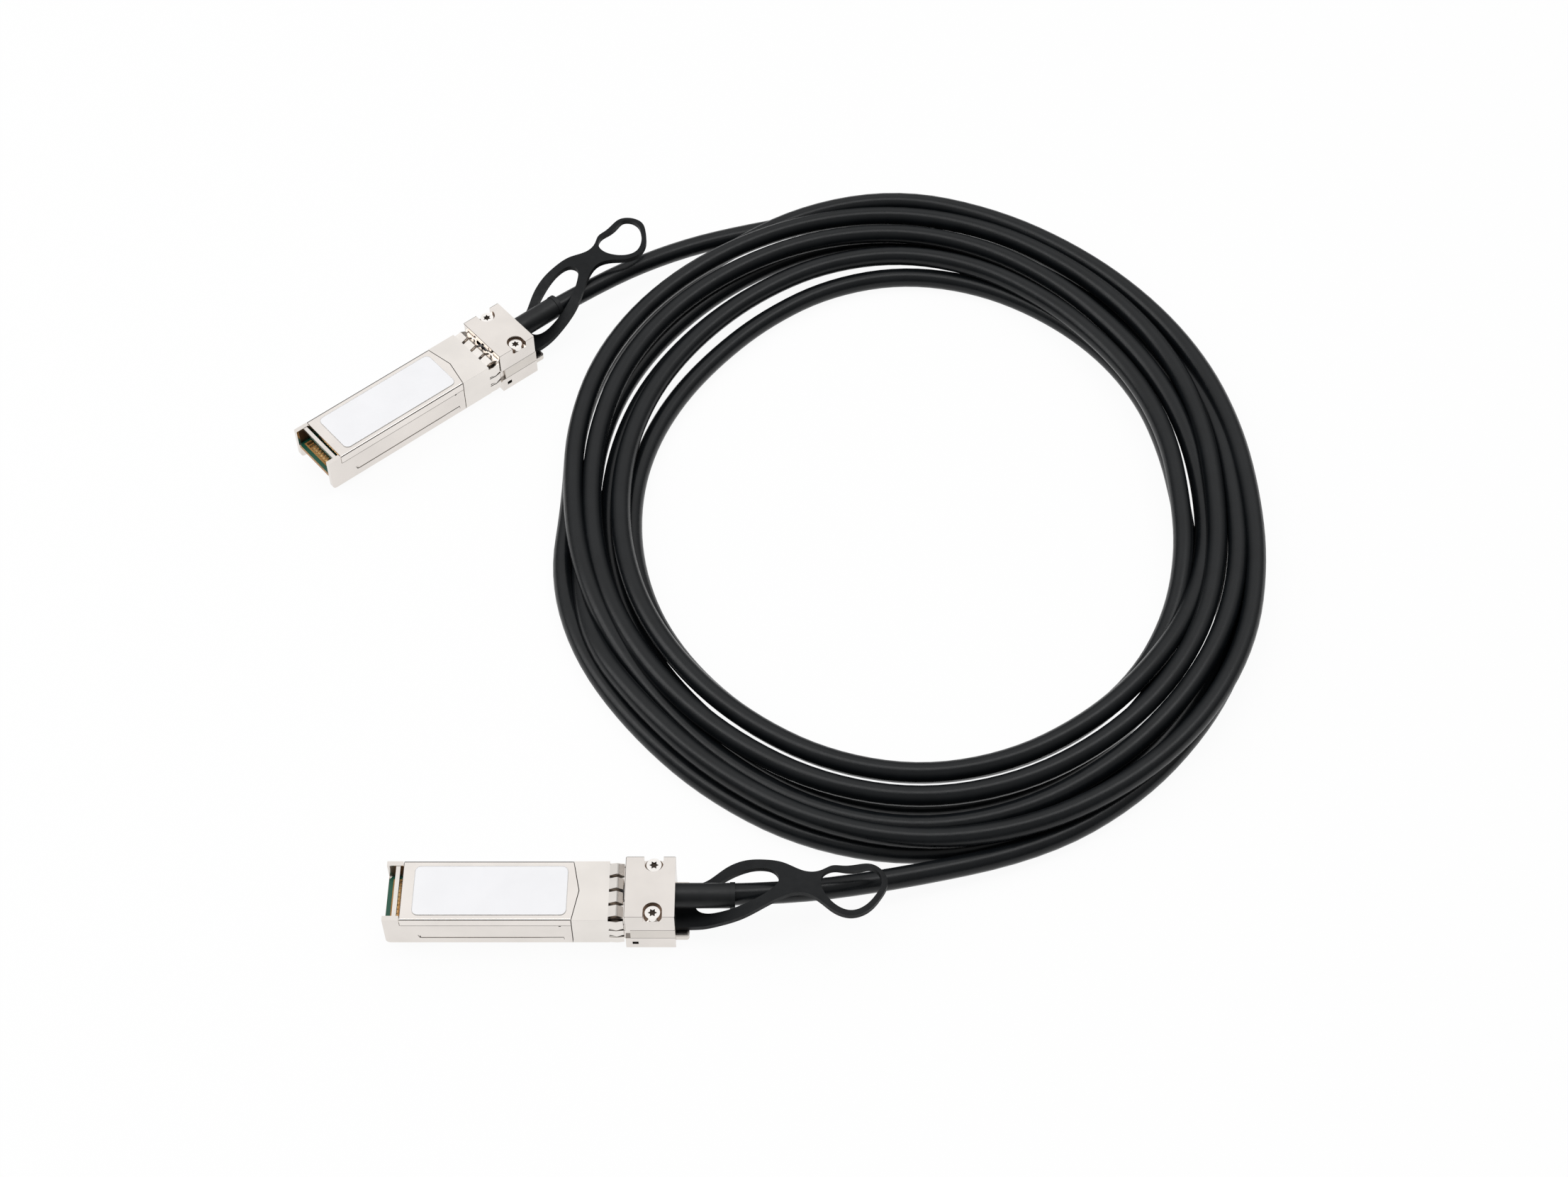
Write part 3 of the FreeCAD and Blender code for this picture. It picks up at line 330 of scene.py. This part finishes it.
def open_ring(centre, side, inner, outer, low, high, steps=36, opening=40):
    """A flat ring with its own thickness, open on one side, where the block's recess is open."""
    built = bmesh.new()
    rows = []
    for reach, z in ((inner, low), (inner, high), (outer, high), (outer, low)):
        row = []
        for k in range(steps + 1):
            turned = math.radians(side * 90 + opening + (360 - 2 * opening) * k / steps)
            row.append(built.verts.new((MM * (centre[0] + reach * math.cos(turned)),
                                        MM * (centre[1] + reach * math.sin(turned)), MM * z)))
        rows.append(row)
    for i in range(4):
        near, far = rows[i], rows[(i + 1) % 4]
        for k in range(steps):
            built.faces.new((near[k], far[k], far[k + 1], near[k + 1]))
    for end in (0, -1):
        built.faces.new([row[end] for row in rows])
    bmesh.ops.recalc_face_normals(built, faces=built.faces[:])
    mesh = bpy.data.meshes.new("open_ring")
    built.to_mesh(mesh)
    built.free()
    return mesh


LAMINATE = plastic("bare_laminate", (0.42, 0.20, 0.055), (0.60, 0.31, 0.09), 0.35, 0.5)
# Painted shade: a dark finish on sheets in the mouth and round the screws, where these lie in shade.
SHADED = nickel("painted_recess_shade", (0.17, 0.12, 0.09), 0.35, 0.5)
# Painted shade: a near-black finish on a small patch, for the shade in a nick on the flank.
NICK_SHADE = plastic("painted_nick_shade", grey(0.006), grey(0.012), 0.6, 0.8, gloss=0.1)
LAMINATE_EDGE = plastic("label_laminate", (0.66, 0.65, 0.64), (0.76, 0.75, 0.74), 0.35, 0.5, 0.000004)
# Painted shade: a dark finish on beads along folds, seams and edges, and on the floor of each screw's
# socket.
SHADE_LINE = nickel("seam_shadow", (0.050, 0.040, 0.033), 0.4, 0.5)


def shade_lines(end, name, lines):
    """Fine dark beads of painted shade along folds and seams: each line is its width in mm and its points.
    """
    drawn = bpy.data.curves.new(name, "CURVE")
    drawn.dimensions = "3D"
    drawn.bevel_depth = MM / 2
    drawn.bevel_resolution = 1
    drawn.use_fill_caps = True
    for width, points in lines:
        spline = drawn.splines.new("POLY")
        spline.points.add(len(points) - 1)
        for point, place in zip(spline.points, points):
            point.co = (*(MM * c for c in place), 1.0)
            point.radius = width
    return fit_on(end, name, drawn, SHADE_LINE)


def side_shade_lines(side):
    """The painted shade lines along the folds and seams of one flank of a connector, in mm."""
    fold, flank, block, seam = side * FOLD, side * FLANK, side * BLOCK_FACE, side * BLOCK_SEAM
    bend = fold + side * 0.06                # the collar's fold, outside the cover's
    lines = [(0.13, [(COVER[0], fold, 10.01), (COVER[1], fold, 10.01)]),
             (0.09, [(36.9, bend, 10.03), (43.9, bend, 10.03)]),
             (0.13, [(SEAM, flank, 9.9), (SEAM, flank, 1.75)]),
             (0.07, [(COVER[0], flank, 7.98), (COVER[1], flank, 7.98)]),
             (0.13, [(BLOCK[0], block, BLOCK_TOP), (RECESS[0], block, BLOCK_TOP)]),
             (0.13, [(RECESS[1], block, BLOCK_TOP), (BLOCK[1], block, BLOCK_TOP)]),
             (0.11, [(BLOCK[0], seam, 6.55), (BLOCK[1], seam, 6.55)])]
    groove = [(6.55, 4.40), (6.70, 3.80), (6.95, 3.46), (7.3, 3.40),
              (30.0, 3.42), (35.1, 3.55), (35.15, 2.85)]
    lines.append((0.11, [(x, side * GROOVE, z) for x, z in groove]))
    for level in (6.45, 4.15):               # the slits between the collar's leaves
        wave = [(44.1, 0.16), (44.6, 0.18), (45.2, 0.05), (45.9, -0.08), (46.5, 0.02), (47.0, 0.0)]
        lines.append((0.20, [(x, side * SLIT, level + lift) for x, lift in wave]))
    return lines


# Painted shade lines along the cover's rear and front edge, and the block's front and rear edge.
ACROSS = [(0.14, [(36.85, -6.5, 10.08), (38.1, 0, 10.08), (36.85, 6.5, 10.08)]),
          (0.11, [(3.4, -6.4, 10.08), (3.4, 6.4, 10.08)]),
          (0.11, [(47.22, -6.8, 11.46), (47.22, 6.8, 11.46)]),
          (0.09, [(56.97, -6.8, 11.46), (56.97, 6.8, 11.46)])]


def dress_middle(end):
    """The label's rim, the card's bare end, the plate over the collar and the painted shade lines across.
    """
    fit_on(end, "label_edge", rim(rounded(*LABEL, 1.2), TOP + 0.06, 0.16), LAMINATE_EDGE)
    fit_on(end, "card_bare_band", slab((0.95, -5.0, CARD[1] - 0.01), (2.7, 5.0, CARD[1] + 0.012), 0.004),
           LAMINATE)
    fit_on(end, "card_bare_edge", slab((0.025, -5.5, CARD[0] + 0.03), (0.07, 5.5, CARD[1] - 0.03), 0.008),
           LAMINATE)
    fit_on(end, "bore_cover", slab((47.08, -2.6, 10.14), (47.2, 2.6, 11.1), 0.03),
           FINISH["shell_metal"])
    shade_lines(end, "shade_lines_across", ACROSS)


def dress_side(end, side, mark):
    """The painted shade lines along the folds of one flank, the painted shade in the mouth, the painted
    shade of a nick, and the painted shade round a screw and in its socket.
    """
    shade_lines(end, f"creases_{mark}", side_shade_lines(side))
    # Painted shade on the mouth's inner wall.
    low, high = sorted((side * 5.72, side * 5.66))
    fit_on(end, f"mouth_lining_{mark}", slab((0.5, low, 6.2), (3.3, high, 9.85), 0.008),
           SHADED)
    # Painted shade of a small nick on the flank.
    low, high = sorted((side * 6.68, side * 6.72))
    fit_on(end, f"side_nicks_{mark}", slab((34.3, low, 7.70), (34.75, high, 7.92), 0.008),
           NICK_SHADE)
    along, across = SCREW[0], side * SCREW[1]
    # Painted shade on the floor of the screw's socket.
    fit_on(end, f"screw_socket_{mark}",
           slab((along - SOCKET, across - SOCKET, 10.29), (along + SOCKET, across + SOCKET, 10.33), 0.01),
           SHADE_LINE)
    # Painted shade in the recess round the screw.
    fit_on(end, f"screw_well_{mark}", open_ring((along, across), side, 1.46, 1.88, 9.9, 10.1),
           SHADED)


for end in STANDS:
    dress_middle(end)
    dress_side(end, -1, "near")
    dress_side(end, 1, "far")


# ---------------------------------------------------------------- return springs

# Each pair is a copy of the CAD model's springs, with a mesh of its own, in place of the original.
for end, ((x, y), turn) in STANDS.items():
    rest = NODES[f"{end}_return_springs"]
    springs = show(f"{end}_spring_pair", rest.data.copy())
    springs.matrix_world = rest.matrix_world.copy()
    dress(springs, FINISH["spring_metal"])
    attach(springs, "cable_assembly")
    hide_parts(f"{end}_return_springs")
    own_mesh(springs)


# ---------------------------------------------------------------- the cable

DIAMETER = 4.4                     # mm
CENTRE = (54.0, 104.0)             # mm, the middle of the coil
STEP = 15                          # degrees between control points in the coil

# From each connector to the coil, close to the route of the CAD model's tubes.
ROUTE_A = [(-1.6, 0, 8.2), (23.4, 0, 8.2), (47.6, 6.0, 4.0)]
ROUTE_B = [(-40.3, 146.8, 8.2), (-20.7, 163.8, 8.0), (-0.5, 180.4, 4.1), (21.7, 189.5, 2.2)]

# The coil, anticlockwise from connector A. Each row is one pass from the right-hand side:
# the angle in degrees, how far the cable is from the coil's middle and its height, in mm. The reaches
# were picked from brightness profiles across the photographed strands, and the heights set one by one.
PASSES = [
    [(-90, 96.1, 3.3), (-68, 90.2, 2.2), (-45, 83.3, 2.2), (-20, 77.2, 2.2)],
    [(0, 73.5, 2.2), (20, 70.6, 2.2), (45, 73.2, 2.2), (90, 82.3, 2.2), (135, 75.4, 2.2), (180, 70.3, 2.2),
     (190, 72.6, 2.2), (200, 76.2, 2.7), (209, 78.6, 4.6), (225, 80.4, 6.2), (270, 90.0, 6.5),
     (315, 83.8, 6.6)],
    [(0, 74.4, 6.6), (45, 79.9, 6.1), (90, 91.2, 6.4), (100, 90.0, 6.3), (110, 88.8, 5.3), (119, 86.8, 3.0),
     (135, 84.0, 2.2), (180, 74.4, 2.2), (190, 77.1, 2.2), (200, 79.9, 2.2), (225, 82.9, 2.2),
     (270, 90.9, 2.2), (315, 78.9, 2.2)],
    [(0, 68.4, 2.2), (20, 66.4, 2.2), (45, 68.9, 2.2), (90, 77.3, 2.2), (135, 69.5, 2.2), (180, 66.2, 2.2),
     (225, 71.2, 2.2), (270, 79.7, 2.2), (315, 71.2, 2.2)],
    [(0, 59.7, 2.2), (45, 64.6, 2.2), (90, 69.7, 2.2), (135, 61.4, 2.2), (180, 61.1, 2.2),
     (225, 65.9, 2.2), (270, 71.5, 2.2), (315, 66.5, 2.6), (340, 61.8, 5.5)],
    [(0, 58.9, 6.5), (45, 63.4, 6.5), (90, 73.3, 5.9), (135, 66.5, 6.2), (180, 63.6, 6.3),
     (225, 67.9, 6.4), (270, 74.3, 6.5), (315, 68.2, 6.7), (340, 65.9, 5.1)],
    [(0, 64.6, 3.2), (20, 65.3, 5.8), (45, 68.5, 6.5), (90, 80.1, 6.3), (135, 76.5, 6.4), (180, 70.0, 6.4),
     (225, 73.6, 6.4), (270, 80.0, 6.5), (315, 73.3, 6.7)],
    [(0, 66.8, 6.7), (45, 74.9, 6.7), (90, 86.0, 6.4), (135, 82.3, 6.4), (180, 74.0, 6.5), (205, 74.5, 6.3),
     (225, 76.0, 3.4), (270, 85.4, 3.6), (315, 77.7, 6.5)],
    [(0, 70.9, 6.1), (20, 72.9, 4.9), (45, 77.5, 2.3), (90, 91.6, 2.2)],
]


def smooth(stops, angle):
    """Reach and height at an angle, on a smooth curve through the stops (cubic Hermite)."""
    i = max(k for k in range(len(stops) - 1) if stops[k][0] <= angle)
    wide = stops[i + 1][0] - stops[i][0]
    part = (angle - stops[i][0]) / wide

    def slope(k):
        low, high = stops[max(k - 1, 0)], stops[min(k + 1, len(stops) - 1)]
        return [(high[axis] - low[axis]) / (high[0] - low[0]) for axis in (1, 2)]

    found = []
    for axis, (rise, fall) in enumerate(zip(slope(i), slope(i + 1)), start=1):
        first, last = stops[i][axis], stops[i + 1][axis]
        found.append(first * (1 + 2 * part) * (1 - part) ** 2 + last * (3 - 2 * part) * part ** 2
                     + wide * part * (1 - part) * (rise * (1 - part) - fall * part))
    return found


def coil_points():
    """The turns, as points of the cable's own spline, in mm."""
    stops = [(360 * (k - 1) + angle + (360 if k == 0 else 0), reach, height)
             for k, row in enumerate(PASSES) for angle, reach, height in row]
    swell = 1.0 / math.cos(math.radians(STEP / 2))      # a quadratic spline runs inside its points
    points = []
    for angle in range(stops[0][0] + STEP, stops[-1][0] + 1, STEP):
        reach, height = smooth(stops, min(angle, stops[-1][0] - 0.01))
        turned = math.radians(angle)
        points.append((CENTRE[0] + swell * reach * math.cos(turned),
                       CENTRE[1] + swell * reach * math.sin(turned), max(height, DIAMETER / 2)))
    return points


def cable():
    """The whole cable on one spline, from connector A through the coil to connector B."""
    line = bpy.data.curves.new("cable", "CURVE")
    line.dimensions = "3D"
    spline = line.splines.new("NURBS")
    places = ROUTE_A + coil_points() + ROUTE_B[::-1]
    spline.points.add(len(places) - 1)
    for point, place in zip(spline.points, places):
        point.co = (*(MM * c for c in place), 1.0)
    spline.order_u = 3
    spline.use_endpoint_u = True
    spline.resolution_u = 6
    line.bevel_depth = MM * DIAMETER / 2
    line.bevel_resolution = 5
    line.use_fill_caps = True
    line.materials.append(FINISH["cable_black"])
    return show("cable", line)


lead = cable()
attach(lead, "cable_assembly")
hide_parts("cable_lead_a", "cable_coil", "cable_lead_b")


# ---------------------------------------------------------------- floor and light

PAPER_WHITE = 0.94                 # share of the floor's look that is plain white, not lit paper
FLOOR_HALF = 3                     # m, half of the floor's width
FLOOR_DROP = 0.0001                # m, how far the floor lies below the object


def seen_directly(tree, *kinds):
    """1 for the named kinds of ray, 0 for the light that falls on things."""
    path = tree.nodes.new("ShaderNodeLightPath")
    total = path.outputs["Is %s Ray" % kinds[0]]
    for kind in kinds[1:]:
        more = tree.nodes.new("ShaderNodeMath")
        more.operation = "MAXIMUM"
        tree.links.new(total, more.inputs[0])
        tree.links.new(path.outputs["Is %s Ray" % kind], more.inputs[1])
        total = more.outputs[0]
    return total


def white_ground():
    """White paper under the object: mostly its own white, with the object's shadow kept."""
    material = bpy.data.materials.new("studio_white")
    material.use_nodes = True
    tree = material.node_tree
    shader = tree.nodes["Principled BSDF"]
    shader.inputs["Base Color"].default_value = (0.94, 0.94, 0.94, 1)
    shader.inputs["Roughness"].default_value = 0.9
    shader.inputs["Specular IOR Level"].default_value = 0.1
    white = tree.nodes.new("ShaderNodeEmission")
    share = tree.nodes.new("ShaderNodeMath")
    share.operation = "MULTIPLY"
    share.inputs[1].default_value = PAPER_WHITE
    tree.links.new(seen_directly(tree, "Camera", "Glossy", "Transmission"), share.inputs[0])
    mix = tree.nodes.new("ShaderNodeMixShader")
    tree.links.new(share.outputs[0], mix.inputs["Fac"])
    tree.links.new(shader.outputs[0], mix.inputs[1])
    tree.links.new(white.outputs[0], mix.inputs[2])
    tree.links.new(mix.outputs[0], tree.nodes["Material Output"].inputs["Surface"])
    return material


mesh = bpy.data.meshes.new("floor")
corners = [(FLOOR_HALF * x, FLOOR_HALF * y, 0) for x, y in ((-1, -1), (1, -1), (1, 1), (-1, 1))]
mesh.from_pydata(corners, [], [(0, 1, 2, 3)])
mesh.materials.append(white_ground())
floor = show("floor", mesh)
floor.location.z = -FLOOR_DROP

# The room's brightness from the horizon to overhead, and the share of it kept from front to back.
SKY = [(0.0, 0.18), (0.20, 0.27), (0.50, 0.66), (0.68, 1.04), (0.85, 1.06), (1.0, 0.63)]
FRONT = [(0.0, 0.42), (0.42, 0.42), (0.62, 1.0), (1.0, 1.0)]


def studio():
    """Soft light from above and behind, dimmer low down and in front, and white where it is seen."""
    world = bpy.data.worlds.new("studio")
    world.use_nodes = True
    tree = world.node_tree
    lit = tree.nodes["Background"]
    split = tree.nodes.new("ShaderNodeSeparateXYZ")
    tree.links.new(tree.nodes.new("ShaderNodeTexCoord").outputs["Generated"], split.inputs[0])

    def graded(source, stops):
        return colour_ramp(tree, source, [(place, grey(level)) for place, level in stops])

    across = tree.nodes.new("ShaderNodeMapRange")
    across.inputs["From Min"].default_value = -1.0
    tree.links.new(split.outputs["Y"], across.inputs["Value"])
    both = tree.nodes.new("ShaderNodeMix")
    both.data_type = "RGBA"
    both.blend_type = "MULTIPLY"
    both.inputs["Factor"].default_value = 1.0
    tree.links.new(graded(split.outputs["Z"], SKY), both.inputs["A"])
    tree.links.new(graded(across.outputs["Result"], FRONT), both.inputs["B"])
    tree.links.new(both.outputs["Result"], lit.inputs["Color"])
    lit.inputs["Strength"].default_value = 1.0
    white = tree.nodes.new("ShaderNodeBackground")
    white.inputs["Color"].default_value = (1, 1, 1, 1)
    mix = tree.nodes.new("ShaderNodeMixShader")
    tree.links.new(seen_directly(tree, "Camera"), mix.inputs["Fac"])
    tree.links.new(lit.outputs[0], mix.inputs[1])
    tree.links.new(white.outputs[0], mix.inputs[2])
    tree.links.new(mix.outputs[0], tree.nodes["World Output"].inputs["Surface"])
    return world


bpy.context.scene.world = studio()


def lamp(name, place, size, power, target=(0.04, 0.09, 0.0)):
    """A soft rectangular lamp: place, size and target in metres, power in watts."""
    light = bpy.data.lights.new(name, "AREA")
    light.shape = "RECTANGLE"
    light.size, light.size_y = size
    light.energy = power
    obj = show(name, light)
    obj.location = place
    point_at(obj, target)


lamp("overhead", (0.03, 0.12, 0.95), (1.5, 0.34), 3.7)
lamp("left", (-0.75, 0.15, 0.6), (0.4, 0.7), 2.0)

bpy.context.scene.view_settings.view_transform = "Standard"
